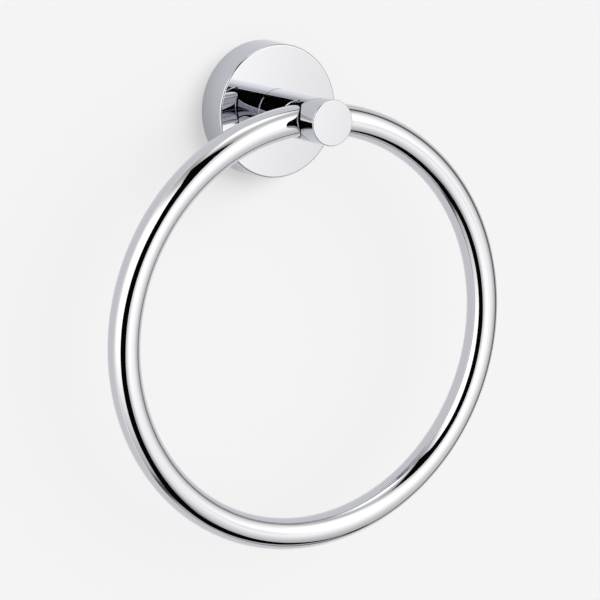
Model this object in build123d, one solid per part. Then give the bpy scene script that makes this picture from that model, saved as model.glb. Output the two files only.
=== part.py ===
from build123d import *
from math import atan2, cos, sqrt
import os

# Wall-mounted towel ring: a flange and a post on a hidden wall bracket, and a loose round ring.
# Millimetres. The wall is the plane y = 0, the fitting stands out of it along -Y, and +Z is up.
# The origin is the middle of the bracket's back, on the axis of the post.

# Ring: bent tube, welded shut, with a vent at the weld.
RING_OUTER_DIA = 178.0
RING_TUBE_DIA = 12.5
RING_TUBE_WALL = 1.2
RING_VENT_DIA = 2.5
RING_STANDOFF = 37.0  # wall to the middle of the tube
RING_DROP = 0.3  # the tube hangs this far below the axis of the post
RING_CLEARANCE = 0.1  # room left in the cross hole beyond the drop and the bend of the tube

# Post: turned bar with a cross hole for the ring and a flatted spigot at its root.
POST_WALL = 1.86  # metal above and below the cross hole
POST_NOSE = 16.5  # middle of the tube to the flat front end
POST_EDGE = 0.5
POST_ROOT_EDGE = 0.4
CROSS_HOLE_EDGE = 0.3
SPIGOT_DIA = 9.0
SPIGOT_FLATS = 7.5
SPIGOT_SHORT = 0.4  # kept back from the web's far side, so that the washer clamps the web
SPIGOT_CLEARANCE = 0.05

# Flange: die-cast cup with a slight draft on its side.
FLANGE_DIA = 54.0  # at the wall
FLANGE_DRAFT = 0.5  # how much smaller the radius is at the front
FLANGE_DEPTH = 13.5
FLANGE_WALL = 3.0
FLANGE_WEB = 3.5
FLANGE_EDGE = 0.8
FLANGE_INSIDE_FILLET = 1.0

# Wall bracket: pressed steel pan whose flared rim carries the flange.
RIM_ROOM = 3.5  # rim to the inside of the flange, so that the flange lifts off its hooks
BRACKET_ROOM = 2.5  # rim to the back of the web
BRACKET_FLARE = 4.0  # how far the side leans outwards
BRACKET_SHEET = 2.0
BRACKET_BEND = 1.0  # inside bend radius
WALL_HOLE_DIA = 4.5
WALL_HOLE_INSET = 6.0  # edge of the base to the middle of a hole

# Hooks: two cast ribs at the top of the cup that reach behind the flared rim.
HOOK_LIP = 1.6
HOOK_ARC = 24.0
HOOK_SPREAD = 35.0  # from the top to the middle of each hook
HOOK_CLEARANCE = 0.15

# Grub screw: draws the flange down and against the wall from below.
GRUB_DIA = 5.0
GRUB_OUT = 5.0  # wall to the axis of the screw
GRUB_SINK = 0.6  # outer end below the side of the flange
GRUB_POINT = 2.0
GRUB_CHAMFER = 0.4
GRUB_SOCKET = 2.5
GRUB_SOCKET_DEPTH = 2.2
GRUB_GAP = 0.05
GRUB_BOSS = 1.3  # thickness of the boss inside the wall of the cup
GRUB_BOSS_ARC = 26.0
GRUB_BOSS_SETBACK = 1.0  # boss kept back from the wall
THREAD_CLEARANCE = 0.05

# Post screw and washer: hold the post on the web from behind.
SCREW_DIA = 5.0
SCREW_LENGTH = 10.0
SCREW_RUN_OUT = 1.5  # tapped hole beyond the end of the screw
SCREW_HEAD_DIA = 9.5
SCREW_HEAD_HEIGHT = 3.4
SCREW_HEAD_EDGE = 1.2
CROSS_SLOT_LENGTH = 5.0
CROSS_SLOT_WIDTH = 1.1
CROSS_SLOT_DEPTH = 2.0
WASHER_DIA = 15.0
WASHER_HOLE_DIA = 5.3
WASHER_THICKNESS = 1.2

# Sizes that follow from the driving ones.
OVERCUT = 1.0  # cutting tools run this far past the faces that they open
TOP = 90.0
BOTTOM = -90.0
ring_r = (RING_OUTER_DIA - RING_TUBE_DIA) / 2
tube_r = RING_TUBE_DIA / 2

# Across the post the bent tube leaves a straight line by half_width ** 2 / (2 * ring_r). The cross hole
# leaves room for that whichever way the ring is swung, and the post has its wall outside the hole.
straight_half_width = tube_r + RING_DROP + RING_CLEARANCE + POST_WALL
post_r = ring_r - sqrt(ring_r**2 - 2 * ring_r * straight_half_width)
cross_hole_r = post_r - POST_WALL
post_front = RING_STANDOFF + POST_NOSE

web_back = FLANGE_DEPTH - FLANGE_WEB
spigot_end = web_back + SPIGOT_SHORT
head_seat = web_back - WASHER_THICKNESS
screw_end = head_seat + SCREW_LENGTH

flange_r = FLANGE_DIA / 2
cavity_r = flange_r - FLANGE_WALL
rim_r = cavity_r - FLANGE_DRAFT - RIM_ROOM
base_r = rim_r - BRACKET_FLARE
bracket_depth = web_back - BRACKET_ROOM
flare_slope = BRACKET_FLARE / bracket_depth
wall_hole_x = base_r - WALL_HOLE_INSET


def flange_side(out):
    """Radius of the flange's drafted side at a distance out from the wall."""
    return flange_r - FLANGE_DRAFT * out / FLANGE_DEPTH


def flare(out):
    """Radius of the outside of the bracket's flared side at a distance out from the wall."""
    return base_r + flare_slope * out


def facing(out):
    """Plane parallel to the wall, facing away from it, with its x along X and its y along Z."""
    return Plane.XZ.offset(out)


def turned(*profile, arc=360.0):
    """Turn a closed outline of (radius, distance out) points about the axis of the post."""
    outline = Polyline(*[(r, -out) for r, out in profile], close=True)
    return revolve(make_face(outline), Axis.Y, arc)


def sector(*profile, middle, arc):
    """Part of a turned shape, centred on an angle measured from +X towards +Z."""
    return Rot(0, -middle - arc / 2, 0) * turned(*profile, arc=arc)


def rod(radius, start, end):
    """Round bar on the axis of the post between two distances out."""
    return turned((0, start), (radius, start), (radius, end), (0, end))


def spigot_outline(clearance=0.0):
    """Round end with two upright flats, which stop the post from turning in the web."""
    flats = Rectangle(SPIGOT_FLATS + 2 * clearance, SPIGOT_DIA + 2 * clearance)
    return Circle(SPIGOT_DIA / 2 + clearance) & flats


def make_ring():
    """Closed ring of tube, parallel to the wall, with the vent at its top inside the post."""
    section = Pos(ring_r, 0) * (Circle(tube_r) - Circle(tube_r - RING_TUBE_WALL))
    vent = Pos(0, 0, ring_r + tube_r) * Cylinder(RING_VENT_DIA / 2, 2 * tube_r)
    ring = revolve(section, Axis.Y) - vent
    return Pos(0, -RING_STANDOFF, -ring_r - RING_DROP) * ring


def make_post():
    """Bar with both its ends and its cross hole broken at the edges, and a tapped spigot at its root."""
    bar = rod(post_r, FLANGE_DEPTH, post_front)
    bar = chamfer(bar.edges().filter_by(GeomType.CIRCLE).sort_by(Axis.Y)[-1], POST_ROOT_EDGE)
    bar = fillet(bar.edges().filter_by(GeomType.CIRCLE).sort_by(Axis.Y)[0], POST_EDGE)
    hole = Rot(0, 90, 0) * Cylinder(cross_hole_r, 2 * (post_r + OVERCUT))
    bar -= Pos(0, -RING_STANDOFF, 0) * hole
    hole_edges = [edge for edge in bar.edges() if edge.geom_type not in (GeomType.CIRCLE, GeomType.LINE)]
    bar = chamfer(hole_edges, CROSS_HOLE_EDGE)
    bar += extrude(facing(spigot_end) * spigot_outline(), FLANGE_DEPTH - spigot_end)
    tapped_r = SCREW_DIA / 2 + THREAD_CLEARANCE
    return bar - rod(tapped_r, spigot_end - OVERCUT, screw_end + SCREW_RUN_OUT)


def make_flange():
    """Cup with a web for the post, two hooks at its top and a tapped boss at its bottom."""
    cup = turned((0, 0), (flange_r, 0), (flange_side(FLANGE_DEPTH), FLANGE_DEPTH), (0, FLANGE_DEPTH))
    cup = fillet(cup.edges().filter_by(GeomType.CIRCLE).sort_by(Axis.Y)[0], FLANGE_EDGE)
    core = turned((0, 0), (cavity_r, 0), (flange_side(web_back) - FLANGE_WALL, web_back), (0, web_back))
    core = fillet(core.edges().filter_by(GeomType.CIRCLE).sort_by(Axis.Y)[0], FLANGE_INSIDE_FILLET)
    cup -= core

    in_wall = FLANGE_WALL / 2
    in_web = web_back + FLANGE_WEB / 2
    lip_out = (rim_r - HOOK_LIP - base_r) / flare_slope
    hook = (
        (rim_r - HOOK_LIP + HOOK_CLEARANCE, lip_out),
        (rim_r + HOOK_CLEARANCE, bracket_depth),
        (rim_r + HOOK_CLEARANCE, in_web),
        (flange_side(in_web) - in_wall, in_web),
        (flange_side(lip_out) - in_wall, lip_out),
    )
    for side in (-1, 1):
        cup += sector(*hook, middle=TOP + side * HOOK_SPREAD, arc=HOOK_ARC)

    boss_r = cavity_r - FLANGE_DRAFT - GRUB_BOSS
    boss = (
        (boss_r, GRUB_BOSS_SETBACK),
        (boss_r, in_web),
        (flange_side(in_web) - in_wall, in_web),
        (flange_side(GRUB_BOSS_SETBACK) - in_wall, GRUB_BOSS_SETBACK),
    )
    cup += sector(*boss, middle=BOTTOM, arc=GRUB_BOSS_ARC)

    tapped_r = GRUB_DIA / 2 + THREAD_CLEARANCE
    cup -= Pos(0, -GRUB_OUT, -flange_r) * Cylinder(tapped_r, 2 * (flange_r - rim_r))
    spigot_hole = facing(web_back - OVERCUT) * spigot_outline(SPIGOT_CLEARANCE)
    return cup - extrude(spigot_hole, FLANGE_WEB + 2 * OVERCUT)


def make_wall_bracket():
    """Round pan of bent sheet, its base on the wall, with two screw holes."""
    across = BRACKET_SHEET / cos(atan2(BRACKET_FLARE, bracket_depth))
    pan = turned((0, 0), (base_r, 0), (rim_r, bracket_depth), (0, bracket_depth))
    pan = fillet(pan.edges().filter_by(GeomType.CIRCLE).sort_by(Axis.Y)[-1], BRACKET_BEND + BRACKET_SHEET)
    past_rim = bracket_depth + OVERCUT
    inside = turned(
        (0, BRACKET_SHEET),
        (flare(BRACKET_SHEET) - across, BRACKET_SHEET),
        (flare(past_rim) - across, past_rim),
        (0, past_rim),
    )
    inside = fillet(inside.edges().filter_by(GeomType.CIRCLE).sort_by(Axis.Y)[-1], BRACKET_BEND)
    holes = Sketch() + [Pos(side * wall_hole_x, 0) * Circle(WALL_HOLE_DIA / 2) for side in (-1, 1)]
    return pan - inside - extrude(facing(-OVERCUT) * holes, BRACKET_SHEET + 2 * OVERCUT)


def make_grub_screw():
    """Socket set screw with a cone point, its point against the flared side of the bracket."""
    screw_r = GRUB_DIA / 2
    outer_end = flange_side(GRUB_OUT) - GRUB_SINK
    length = outer_end - flare(GRUB_OUT) - GRUB_GAP
    screw = turned(
        (0, 0),
        (screw_r - GRUB_CHAMFER, 0),
        (screw_r, GRUB_CHAMFER),
        (screw_r, length - GRUB_POINT),
        (0, length),
    )
    socket = RegularPolygon(GRUB_SOCKET / 2, 6, major_radius=False)
    screw -= extrude(facing(0) * socket, GRUB_SOCKET_DEPTH)
    return Pos(0, -GRUB_OUT, -outer_end) * Rot(-90, 0, 0) * screw


def make_post_screw():
    """Pan-head machine screw with a cross slot, driven from the wall side."""
    head_back = head_seat - SCREW_HEAD_HEIGHT
    head = rod(SCREW_HEAD_DIA / 2, head_back, head_seat)
    head = fillet(head.edges().filter_by(GeomType.CIRCLE).sort_by(Axis.Y)[-1], SCREW_HEAD_EDGE)
    slot = Rectangle(CROSS_SLOT_LENGTH, CROSS_SLOT_WIDTH) + Rectangle(CROSS_SLOT_WIDTH, CROSS_SLOT_LENGTH)
    head -= extrude(facing(head_back) * slot, CROSS_SLOT_DEPTH)
    return head + rod(SCREW_DIA / 2, head_seat, screw_end)


def make_post_washer():
    """Large flat washer between the screw head and the web."""
    return rod(WASHER_DIA / 2, head_seat, web_back) - rod(WASHER_HOLE_DIA / 2, head_seat, web_back)


os.makedirs("parts", exist_ok=True)
pieces = {
    "wall_bracket": make_wall_bracket(),
    "flange": make_flange(),
    "grub_screw": make_grub_screw(),
    "post": make_post(),
    "post_washer": make_post_washer(),
    "post_screw": make_post_screw(),
    "ring": make_ring(),
}
for name, piece in pieces.items():
    piece.label = name
    export_step(piece, f"parts/{name}.step")
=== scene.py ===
import math

import bmesh
import bpy
from mathutils import Matrix, Vector


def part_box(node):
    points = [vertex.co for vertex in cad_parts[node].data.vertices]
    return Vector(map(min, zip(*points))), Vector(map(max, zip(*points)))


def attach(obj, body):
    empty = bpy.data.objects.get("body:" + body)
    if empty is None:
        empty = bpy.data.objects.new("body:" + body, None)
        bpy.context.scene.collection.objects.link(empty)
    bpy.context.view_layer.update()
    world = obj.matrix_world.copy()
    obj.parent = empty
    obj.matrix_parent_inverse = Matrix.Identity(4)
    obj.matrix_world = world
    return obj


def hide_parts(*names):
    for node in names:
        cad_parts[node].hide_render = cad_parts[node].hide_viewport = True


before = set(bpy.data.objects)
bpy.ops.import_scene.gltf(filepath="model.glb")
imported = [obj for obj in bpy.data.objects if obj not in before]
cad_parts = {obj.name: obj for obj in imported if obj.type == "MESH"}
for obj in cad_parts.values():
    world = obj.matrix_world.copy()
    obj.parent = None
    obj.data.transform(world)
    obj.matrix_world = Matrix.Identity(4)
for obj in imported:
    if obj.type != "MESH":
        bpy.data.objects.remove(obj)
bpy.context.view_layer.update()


# Wall bracket: a round pan pressed from 2 mm steel sheet and screwed to the wall through its two holes,
# where the flange hides it. It is zinc plated and clear passivated, a bluish silver that is dull beside
# chrome, clouded where the plating took unevenly and finely grained from the press.
MM = 0.001
ZINC_LIGHT = "#C6CAD0"
ZINC_DARK = "#9FA6AF"
ZINC_CLOUD = 6 * MM
ZINC_GRAIN = 0.3 * MM
ZINC_GRAIN_DEPTH = 0.004 * MM
ZINC_SHINE, ZINC_MATT = 0.24, 0.44


def linear(hex_colour):
    """Turn an sRGB hex colour into the linear colour that the shaders take."""
    channels = [int(hex_colour[i : i + 2], 16) / 255 for i in (1, 3, 5)]
    return [c / 12.92 if c <= 0.04045 else ((c + 0.055) / 1.055) ** 2.4 for c in channels] + [1.0]


def add(tree, kind, sockets=None, **settings):
    """Add a node with its settings, set or link its input sockets, and return its outputs."""
    node = tree.nodes.new(kind)
    for name, value in settings.items():
        setattr(node, name, value)
    for socket, value in (sockets or {}).items():
        if isinstance(value, bpy.types.NodeSocket):
            tree.links.new(value, node.inputs[socket])
        else:
            node.inputs[socket].default_value = value
    return node.outputs


def blank_material(name):
    """Start a material with no nodes of its own."""
    material = bpy.data.materials.new(name)
    material.use_nodes = True
    material.node_tree.nodes.clear()
    return material


zinc = blank_material("zinc_plated_pressed_steel")
tree = zinc.node_tree
spot = add(tree, "ShaderNodeTexCoord")["Object"]
cloud = add(tree, "ShaderNodeTexNoise", {"Vector": spot, "Scale": 1 / ZINC_CLOUD, "Detail": 4.0})["Fac"]
shades = {0: cloud, 6: linear(ZINC_DARK), 7: linear(ZINC_LIGHT)}
colour = add(tree, "ShaderNodeMix", shades, data_type="RGBA")[2]
shine = add(tree, "ShaderNodeMapRange", {"Value": cloud, "To Min": ZINC_MATT, "To Max": ZINC_SHINE})[0]
grain = add(tree, "ShaderNodeTexNoise", {"Vector": spot, "Scale": 1 / ZINC_GRAIN, "Detail": 2.0})["Fac"]
pressed = add(tree, "ShaderNodeBump", {"Height": grain, "Distance": ZINC_GRAIN_DEPTH})[0]
finish = {"Base Color": colour, "Metallic": 1.0, "Roughness": shine, "Normal": pressed}
surface = add(tree, "ShaderNodeBsdfPrincipled", finish)[0]
add(tree, "ShaderNodeOutputMaterial", {"Surface": surface})
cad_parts["wall_bracket"].material_slots[0].material = zinc


# Flange: a zinc die casting that hides the bracket. It is a cup with a slight draft on its side, a web
# that the post is screwed to, two hooks at its top that drop behind the bracket's flared rim and a boss
# at its bottom for the grub screw. It is polished and chrome plated: a hard mirror, a little blue.
FLANGE_DRAFT = 0.5 * MM
FLANGE_WALL = 3.0 * MM
FLANGE_WEB = 3.5 * MM
FLANGE_EDGE = 0.8 * MM
CUP_FILLET = 1.0 * MM
EDGE_STEPS = 10
TURN_STEPS = 256
SPIGOT_R = 4.5 * MM
SPIGOT_FLAT = 3.75 * MM
SPIGOT_PLAY = 0.05 * MM
HOOK_LIP = 1.6 * MM
BRACKET_FLARE = 4.0 * MM
HOOK_ARC = 24.0
HOOK_SPREAD = 35.0
HOOK_PLAY = 0.15 * MM
BOSS_THICKNESS = 1.3 * MM
BOSS_ARC = 26.0
BOSS_SETBACK = 1.0 * MM
GRUB_HOLE_R = 2.55 * MM
GRUB_OUT = 5.0 * MM
DRILL_STEPS = 64
TOP, BOTTOM = 90.0, -90.0
SHARP_EDGE = 35.0
SAME_POINT = 0.001 * MM
CAST_CHROME = "#C1C2C9"
CHROME_CLEAR, CHROME_BLOOMED = 0.015, 0.045
FLANGE_RIPPLE = 16 * MM
FLANGE_RIPPLE_HEIGHT = 0.004 * MM
FLANGE_BLOOM = 9 * MM

bracket_low, bracket_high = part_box("wall_bracket")
flange_low, flange_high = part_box("flange")
flange_r = (flange_high.x - flange_low.x) / 2
flange_depth = flange_high.y - flange_low.y
web_back = flange_depth - FLANGE_WEB
cup_r = flange_r - FLANGE_WALL
rim_r = (bracket_high.x - bracket_low.x) / 2
rim_out = bracket_high.y - bracket_low.y


def flange_side(out):
    """Radius of the flange's drafted side at a distance out from the wall."""
    return flange_r - FLANGE_DRAFT * out / flange_depth


def turn(name, outline, closed=True, middle=180.0, arc=360.0):
    """Turn an outline of (radius, distance out) corners about the axis of the post, as a new object."""
    shape = bmesh.new()
    start = math.radians(middle - arc / 2)
    across = Vector((math.cos(start), 0, math.sin(start)))
    corners = [shape.verts.new(across * radius + Vector((0, -out, 0))) for radius, out in outline]
    ends = corners[1:] + corners[:1] if closed else corners[1:]
    sides = [shape.edges.new(pair) for pair in zip(corners, ends)]
    bmesh.ops.spin(
        shape,
        geom=corners + sides,
        axis=(0, -1, 0),
        angle=math.radians(arc),
        steps=math.ceil(TURN_STEPS * arc / 360),
        use_merge=arc == 360.0,
    )
    bmesh.ops.remove_doubles(shape, verts=shape.verts, dist=SAME_POINT)
    if arc < 360.0:
        bmesh.ops.holes_fill(shape, edges=shape.edges)
    bmesh.ops.recalc_face_normals(shape, faces=shape.faces)
    return place(name, shape)


def place(name, shape):
    """Make a bmesh an object of the scene."""
    mesh = bpy.data.meshes.new(name)
    shape.to_mesh(mesh)
    shape.free()
    thing = bpy.data.objects.new(name, mesh)
    bpy.context.scene.collection.objects.link(thing)
    return thing


def round_edge(thing, radius, out, size):
    """Round the edge that a turned piece has at a radius and a distance out."""
    shape = bmesh.new()
    shape.from_mesh(thing.data)
    near = 10 * SAME_POINT
    on_edge = set()
    for vertex in shape.verts:
        at_radius = abs(math.hypot(vertex.co.x, vertex.co.z) - radius) < near
        if at_radius and abs(vertex.co.y + out) < near:
            on_edge.add(vertex)
    bmesh.ops.bevel(
        shape,
        geom=[edge for edge in shape.edges if on_edge.issuperset(edge.verts)],
        offset=size,
        affect="EDGES",
        segments=EDGE_STEPS,
        profile=0.5,
        material=-1,
    )
    shape.to_mesh(thing.data)
    shape.free()


def shape_with(thing, tool, operation):
    """Unite a piece with a tool shape or cut it by one, and take the tool shape away."""
    step = thing.modifiers.new(tool.name, "BOOLEAN")
    step.operation = operation
    step.solver = "EXACT"
    step.object = tool
    shaped = thing.evaluated_get(bpy.context.evaluated_depsgraph_get())
    thing.data = bpy.data.meshes.new_from_object(shaped)
    thing.modifiers.clear()
    bpy.data.objects.remove(tool)


def flat_sided(thing, radius, flat, start, end):
    """Press two upright flats into the round stretch of a piece between two distances out."""
    for vertex in thing.data.vertices:
        inside = math.hypot(vertex.co.x, vertex.co.z) < radius * 1.01 and abs(vertex.co.x) > flat
        if inside and start <= -vertex.co.y <= end:
            vertex.co.x = math.copysign(flat, vertex.co.x)


def shade(thing, material):
    """Give a piece its material, and smooth shading that keeps flat faces flat and stops at sharp edges."""
    thing.data.materials.clear()
    thing.data.materials.append(material)
    thing.data.shade_smooth()
    thing.data.set_sharp_from_angle(angle=math.radians(SHARP_EDGE))
    weighted = thing.modifiers.new("weighted_normal", "WEIGHTED_NORMAL")
    weighted.keep_sharp = True
    weighted.weight = 100


def polished_chrome(name, colour, ripple, ripple_height, bloom):
    """Bright chrome plate: a mirror whose base metal was polished by hand, so that it is very slightly
    rippled, with a faint bloom where the last buffing left it less clear."""
    material = blank_material(name)
    tree = material.node_tree
    spot = add(tree, "ShaderNodeTexCoord")["Object"]
    swell = add(tree, "ShaderNodeTexNoise", {"Vector": spot, "Scale": 1 / ripple, "Detail": 1.0})["Fac"]
    rippled = add(tree, "ShaderNodeBump", {"Height": swell, "Distance": ripple_height})[0]
    smear = add(tree, "ShaderNodeTexNoise", {"Vector": spot, "Scale": 1 / bloom, "Detail": 3.0})["Fac"]
    limits = {"Value": smear, "To Min": CHROME_CLEAR, "To Max": CHROME_BLOOMED}
    clear = add(tree, "ShaderNodeMapRange", limits)[0]
    finish = {"Base Color": linear(colour), "Metallic": 1.0, "Roughness": clear, "Normal": rippled}
    surface = add(tree, "ShaderNodeBsdfPrincipled", finish)[0]
    add(tree, "ShaderNodeOutputMaterial", {"Surface": surface})
    return material


hole_r = SPIGOT_R + SPIGOT_PLAY
cup_outline = (
    (hole_r, web_back),
    (flange_side(web_back) - FLANGE_WALL, web_back),
    (cup_r, 0),
    (flange_r, 0),
    (flange_side(flange_depth), flange_depth),
    (hole_r, flange_depth),
)
flange = turn("flange_casting", cup_outline)
flat_sided(flange, hole_r, SPIGOT_FLAT + SPIGOT_PLAY, web_back, flange_depth)
round_edge(flange, flange_side(flange_depth), flange_depth, FLANGE_EDGE)
round_edge(flange, flange_side(web_back) - FLANGE_WALL, web_back, CUP_FILLET)
in_wall = FLANGE_WALL / 2
in_web = web_back + FLANGE_WEB / 2
lip_out = rim_out - HOOK_LIP * rim_out / BRACKET_FLARE
hook_outline = (
    (rim_r - HOOK_LIP + HOOK_PLAY, lip_out),
    (rim_r + HOOK_PLAY, rim_out),
    (rim_r + HOOK_PLAY, in_web),
    (flange_side(in_web) - in_wall, in_web),
    (flange_side(lip_out) - in_wall, lip_out),
)
for side in (-1, 1):
    hook = turn("hook", hook_outline, middle=TOP + side * HOOK_SPREAD, arc=HOOK_ARC)
    shape_with(flange, hook, "UNION")
boss_r = cup_r - FLANGE_DRAFT - BOSS_THICKNESS
boss_outline = (
    (boss_r, BOSS_SETBACK),
    (boss_r, in_web),
    (flange_side(in_web) - in_wall, in_web),
    (flange_side(BOSS_SETBACK) - in_wall, BOSS_SETBACK),
)
shape_with(flange, turn("boss", boss_outline, middle=BOTTOM, arc=BOSS_ARC), "UNION")
drill = bmesh.new()
across_wall = Matrix.Translation((0, -GRUB_OUT, -flange_r))
bmesh.ops.create_cone(
    drill,
    cap_ends=True,
    segments=DRILL_STEPS,
    radius1=GRUB_HOLE_R,
    radius2=GRUB_HOLE_R,
    depth=2 * (flange_r - rim_r),
    matrix=across_wall,
)
shape_with(flange, place("drill", drill), "DIFFERENCE")
cast_chrome = polished_chrome(
    "chrome_plated_die_casting", CAST_CHROME, FLANGE_RIPPLE, FLANGE_RIPPLE_HEIGHT, FLANGE_BLOOM
)
shade(flange, cast_chrome)
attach(flange, "holder")
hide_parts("flange")


# Grub screw: an M5 socket set screw of hardened steel, turned in from under the flange against the
# bracket's flared side. Its black oxide has worn bright, a dark grey with a low oily shine.
STEEL_LIGHT = "#A7A6A4"
STEEL_DARK = "#7E7E7F"
STEEL_GRAIN = 0.35 * MM
STEEL_TOOL_MARK = 0.12 * MM
STEEL_MARK_DEPTH = 0.002 * MM
STEEL_SHINE = 0.3

bright_steel = blank_material("turned_bright_steel")
tree = bright_steel.node_tree
spot = add(tree, "ShaderNodeTexCoord")["Object"]
mottle = add(tree, "ShaderNodeTexNoise", {"Vector": spot, "Scale": 1 / STEEL_GRAIN, "Detail": 3.0})["Fac"]
shades = {0: mottle, 6: linear(STEEL_DARK), 7: linear(STEEL_LIGHT)}
colour = add(tree, "ShaderNodeMix", shades, data_type="RGBA")[2]
turned = add(
    tree,
    "ShaderNodeTexWave",
    {"Vector": spot, "Scale": 1 / STEEL_TOOL_MARK, "Distortion": 1.0},
    wave_type="RINGS",
    rings_direction="Y",
)["Fac"]
marks = add(tree, "ShaderNodeBump", {"Height": turned, "Distance": STEEL_MARK_DEPTH})[0]
finish = {"Base Color": colour, "Metallic": 1.0, "Roughness": STEEL_SHINE, "Normal": marks}
surface = add(tree, "ShaderNodeBsdfPrincipled", finish)[0]
add(tree, "ShaderNodeOutputMaterial", {"Surface": surface})
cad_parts["grub_screw"].material_slots[0].material = bright_steel


# Post: a turned brass bar with a flatted, tapped spigot that stops in the flange's web, and a cross hole
# for the ring with its edges broken. It is chrome plated in one go with the flange, and as bright.
POST_EDGE = 0.5 * MM
POST_ROOT_EDGE = 0.4 * MM
CROSS_HOLE_EDGE = 0.3 * MM
CROSS_HOLE_STEPS = 192
POST_WALL = 1.86 * MM
TAPPED_R = 2.55 * MM
TAPPED_DEPTH = 9.9 * MM
CUTTER_LENGTH = 2.5
CUTTER_LIP, CUTTER_MOUTH = 0.9, 1.1
CUTTER_MOUTH_END = 1.2
POST_RIPPLE = 14 * MM
POST_RIPPLE_HEIGHT = 0.003 * MM
POST_BLOOM = 7 * MM

post_low, post_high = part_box("post")
ring_low, ring_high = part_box("ring")
post_r = (post_high.x - post_low.x) / 2
post_front = -post_low.y
spigot_end = -post_high.y
tapped_end = spigot_end + TAPPED_DEPTH
bar_outline = (
    (0, tapped_end),
    (TAPPED_R, tapped_end),
    (TAPPED_R, spigot_end),
    (SPIGOT_R, spigot_end),
    (SPIGOT_R, flange_depth),
    (post_r - POST_ROOT_EDGE, flange_depth),
    (post_r, flange_depth + POST_ROOT_EDGE),
    (post_r, post_front),
    (0, post_front),
)
post = turn("post_bar", bar_outline, closed=False)
flat_sided(post, SPIGOT_R, SPIGOT_FLAT, spigot_end, flange_depth - 10 * SAME_POINT)
round_edge(post, post_r, post_front, POST_EDGE)

# The cutter is a bar that flares where it leaves the post, which breaks the edge of the hole. Its length and
# its stations along X are in radii of the post.
cross_hole_r = post_r - POST_WALL
ring_out = -(ring_low.y + ring_high.y) / 2
cutter = bmesh.new()
crosswise = Matrix.Translation((0, -ring_out, 0)) @ Matrix.Rotation(math.radians(90), 4, "Y")
bmesh.ops.create_cone(
    cutter,
    cap_ends=True,
    segments=CROSS_HOLE_STEPS,
    radius1=cross_hole_r,
    radius2=cross_hole_r,
    depth=CUTTER_LENGTH * post_r,
    matrix=crosswise,
)
for station in (-CUTTER_MOUTH, -CUTTER_LIP, CUTTER_LIP, CUTTER_MOUTH):
    every = cutter.verts[:] + cutter.edges[:] + cutter.faces[:]
    bmesh.ops.bisect_plane(cutter, geom=every, plane_co=(station * post_r, 0, 0), plane_no=(1, 0, 0))
for vertex in cutter.verts:
    hole_side = math.copysign(1, vertex.co.x)
    at_lip = abs(vertex.co.x) < post_r
    at_mouth = post_r < abs(vertex.co.x) < CUTTER_MOUTH_END * post_r
    if not at_lip:
        flare = (cross_hole_r + CROSS_HOLE_EDGE) / cross_hole_r
        vertex.co.y = -ring_out + (vertex.co.y + ring_out) * flare
        vertex.co.z *= flare
    surface_x = math.sqrt(post_r**2 - vertex.co.z**2)
    if at_lip:
        vertex.co.x = hole_side * (surface_x - CROSS_HOLE_EDGE)
    if at_mouth:
        vertex.co.x = hole_side * surface_x
shape_with(post, place("cutter", cutter), "DIFFERENCE")
turned_chrome = polished_chrome(
    "chrome_plated_turned_brass", CAST_CHROME, POST_RIPPLE, POST_RIPPLE_HEIGHT, POST_BLOOM
)
shade(post, turned_chrome)
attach(post, "holder")
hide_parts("post")


# Washer and post screw: a large steel washer and an M5 pan head screw with a cross slot, driven from
# behind to clamp the post to the web. Both are plain bright steel, like the grub screw.
for name in ("post_washer", "post_screw"):
    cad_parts[name].material_slots[0].material = bright_steel


# Ring: steel tube bent to a circle, welded shut, polished and chrome plated. It hangs loose in the
# cross hole. Bending leaves a long, faint swell in the tube that the buffing never takes out.
RING_STEPS = 512
TUBE_STEPS = 96
TUBE_CHROME = "#C8C9D0"
TUBE_RIPPLE = 22 * MM
TUBE_RIPPLE_HEIGHT = 0.01 * MM
TUBE_BLOOM = 12 * MM

tube_r = (ring_high.y - ring_low.y) / 2
ring_outer_r = (ring_high.x - ring_low.x) / 2
ring_r = ring_outer_r - tube_r
ring_middle = Vector((0, -ring_out, ring_low.z + ring_outer_r))
hoop = bmesh.new()
tube_place = Matrix.Translation(ring_middle + Vector((ring_r, 0, 0)))
bmesh.ops.create_circle(hoop, segments=TUBE_STEPS, radius=tube_r, matrix=tube_place)
bmesh.ops.spin(
    hoop,
    geom=hoop.verts[:] + hoop.edges[:],
    cent=ring_middle,
    axis=(0, 1, 0),
    angle=2 * math.pi,
    steps=RING_STEPS,
    use_merge=True,
)
bmesh.ops.remove_doubles(hoop, verts=hoop.verts, dist=SAME_POINT)
bmesh.ops.recalc_face_normals(hoop, faces=hoop.faces)
ring = place("ring_tube", hoop)
tube_chrome = polished_chrome(
    "chrome_plated_bent_tube", TUBE_CHROME, TUBE_RIPPLE, TUBE_RIPPLE_HEIGHT, TUBE_BLOOM
)
shade(ring, tube_chrome)
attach(ring, "ring")
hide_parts("ring")


# Tent: a dome of white cloth round the fitting, lit from outside, which the chrome mirrors and the camera
# never sees. The cloth is dimmer towards the floor, along a seam in its roof, in a fold and to the right.
# A black flag hangs at the camera's side, a black strip low in the dome is painted shade that stands in for
# the shadow on the floor, and a card stands at each side.
TENT_MIDDLE = Vector((0, -0.03, -0.07))
TENT_R = 0.9
TENT_STEPS = 240
CARD_R = TENT_R * 0.97
CLOTH = "#FFFEF8"
CLOTH_WHITE = 1.98
CLOTH_FOOT = 0.66
CLOTH_BEHIND = 1.0
FRONT_HALF = 95

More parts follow.
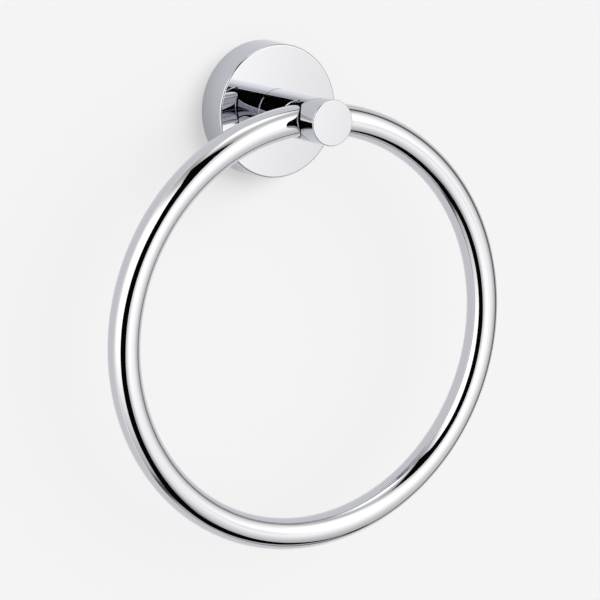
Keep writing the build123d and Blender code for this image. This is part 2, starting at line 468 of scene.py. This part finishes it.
# Each pair holds the angles in degrees between which a shade of the cloth comes in or goes out again.
FLOOR_SHADE_END, FLOOR_SHADE_RISE = 5, 20
FLOOR_SHADE_START, FLOOR_SHADE_SIDE = -64, (0, 50)
SEAM_LOSS = 0.64
SEAM_IN, SEAM_OUT = (35, 60), (80, 58)
LEFT_ROOF_LOSS = 0.5
LEFT_ROOF_UP, LEFT_ROOF_SIDE = (58, 66), (-35, -60)
RIGHT_LOSS = 0.75
RIGHT_START, RIGHT_WIDTH = 40, 50
RIGHT_IN, RIGHT_OUT = (-45, -9), (60, 45)
FOLD_LOSS = 0.2
FOLD_LEFT, FOLD_RIGHT = (27, 36), (42, 37)
FOLD_IN, FOLD_OUT = (-15, -7), (10, 0)
LEFT_EDGE_LOSS = 0.2
LEFT_EDGE_SIDE = (-78, -92)
RIGHT_EDGE_LOSS = 0.95
RIGHT_EDGE_SIDE = (80, 87)
LEFT_FOOT_LOSS = 0.8
LEFT_FOOT_IN, LEFT_FOOT_OUT = (-54, -63), (-74, -66)
LEFT_FOOT_SIDE = (-35, -50)
FLAG_SHADE = 0.48
FLAG_SHADE_WIDTH = 27

# The flag's rows are height, left and right; the painted floor shade's are sideways, low and high, all in
# degrees. The cards' rows are a distance along the wall in metres and how bright the card is there.
FLAG_OUTLINE = (
    (-60, -52, 4),
    (-50, -50, -7),
    (-34, -55, -17),
    (-18, -56, -23),
    (-2, -55, -20),
    (14, -48, -9),
    (30, -37, -3),
    (46, -36, 5),
    (54, -46, -8),
    (62, -58, -38),
)
SHADE_STRIP_OUTLINE = (
    (-54, -68, -62),
    (-44, -73, -57),
    (-20, -80, -54),
    (20, -79, -54),
    (44, -73, -55),
    (62, -64, -56),
    (76, -56, -51),
    (95, -53, -49),
)
# One black serves both the flag and the painted floor shade.
BLACK_CLOTH_AND_SHADE = "#181818"
BLACK_CLOTH_AND_SHADE_GLOW = 0.3
LEFT_CARD = ((-0.15, 0.9), (-0.42, 1.31), (-0.9, 1.31))
RIGHT_CARD = ((0.15, 0.9), (0.3, 0.36), (0.9, 0.36))


def fade(value, start, end):
    """Go smoothly from 0 to 1 as a value goes from start to end."""
    share = min(max((value - start) / (end - start), 0), 1)
    return share * share * (3 - 2 * share)


def on_tent(sideways, height, radius):
    """The point of a dome at two angles in degrees, to the right of straight out and up."""
    sideways, height = math.radians(sideways), math.radians(height)
    level = Vector((math.sin(sideways), -math.cos(sideways), 0)) * math.cos(height)
    return TENT_MIDDLE + (level + Vector((0, 0, math.sin(height)))) * radius


def flag_right(height):
    """The right edge of the black flag at a height."""
    for (low, _, low_right), (high, _, high_right) in zip(FLAG_OUTLINE, FLAG_OUTLINE[1:]):
        if low <= height <= high:
            return low_right + (high_right - low_right) * (height - low) / (high - low)
    return None


def cloth_level(sideways, height):
    """How bright the cloth is at two angles in degrees."""
    if abs(sideways) > FRONT_HALF:
        return CLOTH_BEHIND
    full = FLOOR_SHADE_END + FLOOR_SHADE_RISE * fade(sideways, *FLOOR_SHADE_SIDE)
    level = CLOTH_FOOT + (CLOTH_WHITE - CLOTH_FOOT) * fade(height, FLOOR_SHADE_START, full)
    level *= 1 - SEAM_LOSS * fade(height, *SEAM_IN) * fade(height, *SEAM_OUT)
    level *= 1 - LEFT_ROOF_LOSS * fade(height, *LEFT_ROOF_UP) * fade(sideways, *LEFT_ROOF_SIDE)
    right = RIGHT_LOSS * min(max((sideways - RIGHT_START) / RIGHT_WIDTH, 0), 1)
    level *= 1 - right * fade(height, *RIGHT_IN) * fade(height, *RIGHT_OUT)
    fold = fade(sideways, *FOLD_LEFT) * fade(sideways, *FOLD_RIGHT)
    level *= 1 - FOLD_LOSS * fold * fade(height, *FOLD_IN) * fade(height, *FOLD_OUT)
    level *= 1 - LEFT_EDGE_LOSS * fade(sideways, *LEFT_EDGE_SIDE)
    level *= 1 - RIGHT_EDGE_LOSS * fade(sideways, *RIGHT_EDGE_SIDE)
    foot = fade(height, *LEFT_FOOT_IN) * fade(height, *LEFT_FOOT_OUT)
    level *= 1 - LEFT_FOOT_LOSS * foot * fade(sideways, *LEFT_FOOT_SIDE)
    edge = flag_right(height)
    if edge is not None and sideways > edge:
        level *= 1 - FLAG_SHADE * fade(sideways, edge + FLAG_SHADE_WIDTH, edge)
    return level


def only_mirrored(thing):
    """Let a piece of the stage show in the chrome alone, and cast no light or shadow itself."""
    thing.visible_camera = False
    thing.visible_diffuse = False
    thing.visible_shadow = False


dome = bmesh.new()
bmesh.ops.create_uvsphere(
    dome,
    u_segments=TENT_STEPS,
    v_segments=TENT_STEPS // 2,
    radius=TENT_R,
    matrix=Matrix.Translation(TENT_MIDDLE),
)
glow = dome.verts.layers.float.new("glow")
for vertex in dome.verts:
    way = (vertex.co - TENT_MIDDLE).normalized()
    vertex[glow] = cloth_level(math.degrees(math.atan2(way.x, -way.y)), math.degrees(math.asin(way.z)))
tent = place("tent", dome)
white_cloth = blank_material("white_cloth_lit_from_behind")
tree = white_cloth.node_tree
level = add(tree, "ShaderNodeAttribute", attribute_name="glow")["Fac"]
surface = add(tree, "ShaderNodeEmission", {"Color": linear(CLOTH), "Strength": level})[0]
add(tree, "ShaderNodeOutputMaterial", {"Surface": surface})
white_cloth.cycles.emission_sampling = "NONE"
tent.data.materials.append(white_cloth)
only_mirrored(tent)

black_cloth_and_painted_shade = blank_material("black_cloth_and_painted_shade")
tree = black_cloth_and_painted_shade.node_tree
black = {"Color": linear(BLACK_CLOTH_AND_SHADE), "Strength": BLACK_CLOTH_AND_SHADE_GLOW}
surface = add(tree, "ShaderNodeEmission", black)[0]
add(tree, "ShaderNodeOutputMaterial", {"Surface": surface})
black_cloth_and_painted_shade.cycles.emission_sampling = "NONE"
flag_edges = [((left, height), (right, height)) for height, left, right in FLAG_OUTLINE]
# The strip low in the dome is painted shade: black cloth standing in for the shadow on the floor, seen only
# in the chrome.
shade_strip_edges = [((sideways, low), (sideways, high)) for sideways, low, high in SHADE_STRIP_OUTLINE]
for name, edges in (("black_flag", flag_edges), ("painted_floor_shade", shade_strip_edges)):
    strip = bmesh.new()
    rows = [[strip.verts.new(on_tent(*corner, CARD_R)) for corner in pair] for pair in edges]
    for (a, b), (c, d) in zip(rows, rows[1:]):
        strip.faces.new((a, b, d, c))
    card = place(name, strip)
    card.data.materials.append(black_cloth_and_painted_shade)
    only_mirrored(card)

for name, stations in (("left_card", LEFT_CARD), ("right_card", RIGHT_CARD)):
    strip = bmesh.new()
    glow = strip.verts.layers.float.new("glow")
    rows = []
    for sideways, level in stations:
        pair = [strip.verts.new((sideways, 0, height)) for height in (-TENT_R, TENT_R)]
        for vertex in pair:
            vertex[glow] = level
        rows.append(pair)
    for (a, b), (c, d) in zip(rows, rows[1:]):
        strip.faces.new((a, b, d, c))
    card = place(name, strip)
    card.data.materials.append(white_cloth)
    only_mirrored(card)


# Room: faint even light from all round and two broad, soft lamps from the right and a little above, which
# the chrome does not mirror. The shadows of the stronger lamp come from the flange and the post alone, so
# that the wall inside the ring stays clean.
ROOM_LIGHT = 0.05
BACKDROP = 0.9
LAMPS = (
    ("broad_light", 0.2, 75, (0.47, -1.0, 0.2), False),
    ("side_light", 1.03, 40, (0.5, -1.0, 0.35), True),
)

world = bpy.data.worlds.new("white_room")
bpy.context.scene.world = world
world.use_nodes = True
tree = world.node_tree
tree.nodes.clear()
seen = add(tree, "ShaderNodeLightPath")["Is Camera Ray"]
strength = add(tree, "ShaderNodeMix", {0: seen, 2: ROOM_LIGHT, 3: BACKDROP}, data_type="FLOAT")[0]
surface = add(tree, "ShaderNodeBackground", {"Strength": strength})[0]
add(tree, "ShaderNodeOutputWorld", {"Surface": surface})

shadow_casters = bpy.data.collections.new("shadow_casters")
shadow_casters.objects.link(flange)
shadow_casters.objects.link(post)
for name, energy, spread, direction, holder_shadows_only in LAMPS:
    lamp = bpy.data.objects.new(name, bpy.data.lights.new(name, "SUN"))
    bpy.context.scene.collection.objects.link(lamp)
    lamp.data.energy = energy
    lamp.data.angle = math.radians(spread)
    lamp.rotation_euler = Vector(direction).to_track_quat("Z", "Y").to_euler()
    lamp.visible_glossy = False
    if holder_shadows_only:
        lamp.light_linking.blocker_collection = shadow_casters
bpy.context.scene.cycles.caustics_reflective = False


# Wall and floor: the wall is a pale painted panel that glows a little, so that shadows on it stay soft.
# It is open behind the flange, and its back is clear, so that the fitting can be seen from behind.
WALL_PAINT = "#F0F0F0"
WALL_GLOW = 0.665
WALL_MATT = 0.9
WALL_GAP = 0.3 * MM
WALL_HOLE_R = 24.5 * MM
WALL_R = 1.6
FLOOR_DROP = 1.2
FLOOR_HALF = 3.0

wall = turn("wall", ((WALL_HOLE_R, -WALL_GAP), (WALL_R, -WALL_GAP)), closed=False)
wall.data.flip_normals()
paint = blank_material("matt_wall_paint")
tree = paint.node_tree
finish = {
    "Base Color": linear(WALL_PAINT),
    "Roughness": WALL_MATT,
    "Specular IOR Level": 0.0,
    "Emission Color": linear(WALL_PAINT),
    "Emission Strength": WALL_GLOW,
}
painted = add(tree, "ShaderNodeBsdfPrincipled", finish)[0]
clear_back = add(tree, "ShaderNodeBsdfTransparent")[0]
behind = add(tree, "ShaderNodeNewGeometry")["Backfacing"]
surface = add(tree, "ShaderNodeMixShader", {0: behind, 1: painted, 2: clear_back})[0]
add(tree, "ShaderNodeOutputMaterial", {"Surface": surface})
wall.data.materials.append(paint)

ground = bmesh.new()
ground_place = Matrix.Translation((0, -FLOOR_HALF, -FLOOR_DROP))
bmesh.ops.create_grid(ground, x_segments=1, y_segments=1, size=FLOOR_HALF, matrix=ground_place)
floor = place("floor", ground)
floor.data.materials.append(paint)
floor.visible_glossy = False
floor.visible_diffuse = False


# Camera: at the photograph's viewing angle, with a long lens. The middle of the ring lies at this pixel
# of the 600 pixel frame, which fixes where the camera stands.
FRAME_PIXELS = 600
FOCAL_PIXELS = 2800
SENSOR = 36.0
RING_PIXEL = (309.9, 328.2)
RING_DISTANCE = 1.0994
AZIMUTH, ELEVATION = math.radians(-31.82), math.radians(11.51)

back = Vector((
    math.sin(AZIMUTH) * math.cos(ELEVATION),
    -math.cos(AZIMUTH) * math.cos(ELEVATION),
    math.sin(ELEVATION),
))
across = Vector((0, 0, 1)).cross(back).normalized()
upwards = back.cross(across)
half = FRAME_PIXELS / 2
offset = across * (RING_PIXEL[0] - half) - upwards * (RING_PIXEL[1] - half)
camera = bpy.data.objects.new("camera", bpy.data.cameras.new("camera"))
bpy.context.scene.collection.objects.link(camera)
camera.location = ring_middle + back * RING_DISTANCE - offset * (RING_DISTANCE / FOCAL_PIXELS)
camera.rotation_euler = (-back).to_track_quat("-Z", "Y").to_euler()
camera.data.sensor_width = SENSOR
camera.data.lens = FOCAL_PIXELS / FRAME_PIXELS * SENSOR
bpy.context.scene.camera = camera
bpy.context.scene.view_settings.view_transform = "Standard"
